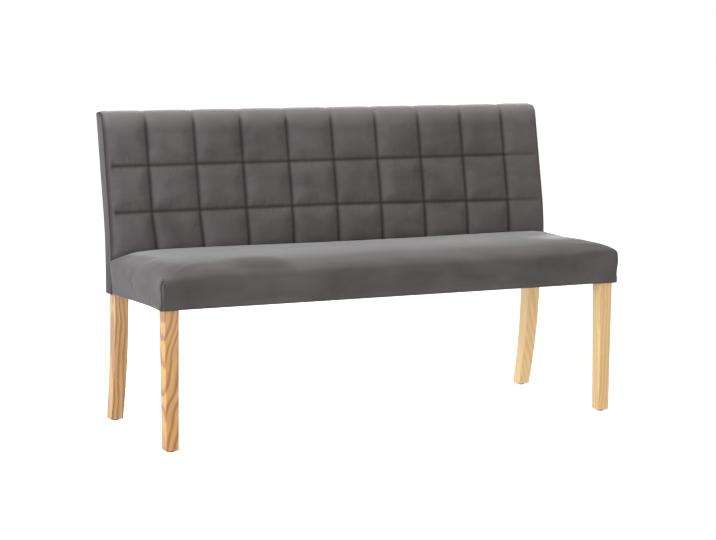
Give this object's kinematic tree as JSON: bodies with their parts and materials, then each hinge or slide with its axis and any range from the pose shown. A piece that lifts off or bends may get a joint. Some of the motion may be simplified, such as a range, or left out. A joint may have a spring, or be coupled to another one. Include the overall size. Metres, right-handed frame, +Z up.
{
  "type": "upholstered bench",
  "caption": "Upholstered bench with a quilted leaning back, a crowned padded seat and tapered wooden legs, the rear legs swept backwards.",
  "frame": {"origin": "on the floor, below the middle of the bench's box", "axes": "+X along the bench to the right as seen from the front, +Y to the back, +Z up; the front faces -Y"},
  "size_m": [1.48, 0.5646, 0.9278],
  "materials": {
    "leg_wood": "clear satin lacquer on pale wood",
    "frame_wood": "planed, unfinished",
    "plywood": "sanded, unfinished",
    "velvet": "short-pile velvet, warm dark grey",
    "foam": "open-cell foam",
    "wadding": "polyester wadding",
    "dust_cloth": "non-woven black cloth",
    "steel": "zinc plated",
    "glide_plastic": "moulded, dark"
  },
  "bodies": {
    "root": {"front_leg_left": "leg_wood", "front_leg_right": "leg_wood", "rear_leg_left": "leg_wood", "rear_leg_right": "leg_wood", "seat_front_rail": "frame_wood", "seat_rear_rail": "frame_wood", "seat_side_rail_left": "frame_wood", "seat_side_rail_right": "frame_wood", "seat_cross_rail_left": "frame_wood", "seat_cross_rail_right": "frame_wood", "seat_corner_blocks_front": "frame_wood", "seat_corner_blocks_rear": "frame_wood", "seat_frame_dowels": "frame_wood", "back_top_rail": "frame_wood", "back_bottom_rail": "frame_wood", "back_centre_stile_left": "frame_wood", "back_centre_stile_right": "frame_wood", "back_frame_dowels": "frame_wood", "seat_deck": "plywood", "back_panel": "plywood", "seat_cover": "velvet", "back_quilted_cover": "velvet", "back_cover_apron": "velvet", "back_side_band_left": "velvet", "back_side_band_right": "velvet", "back_rear_cover": "velvet", "seat_foam": "foam", "back_foam": "foam", "seat_wadding": "wadding", "back_side_padding_left": "wadding", "back_side_padding_right": "wadding", "seat_dust_cover": "dust_cloth", "corner_block_screws": "steel", "hanger_bolts": "steel", "hanger_bolt_washers": "steel", "hanger_bolt_nuts": "steel", "seat_frame_screws": "steel", "deck_screws": "steel", "dust_cover_staples": "steel", "back_panel_screws": "steel", "seat_to_leg_bolts": "steel", "seat_to_leg_washers": "steel", "rear_leg_inserts": "steel", "foot_glides": "glide_plastic"}
  },
  "joints": []
}
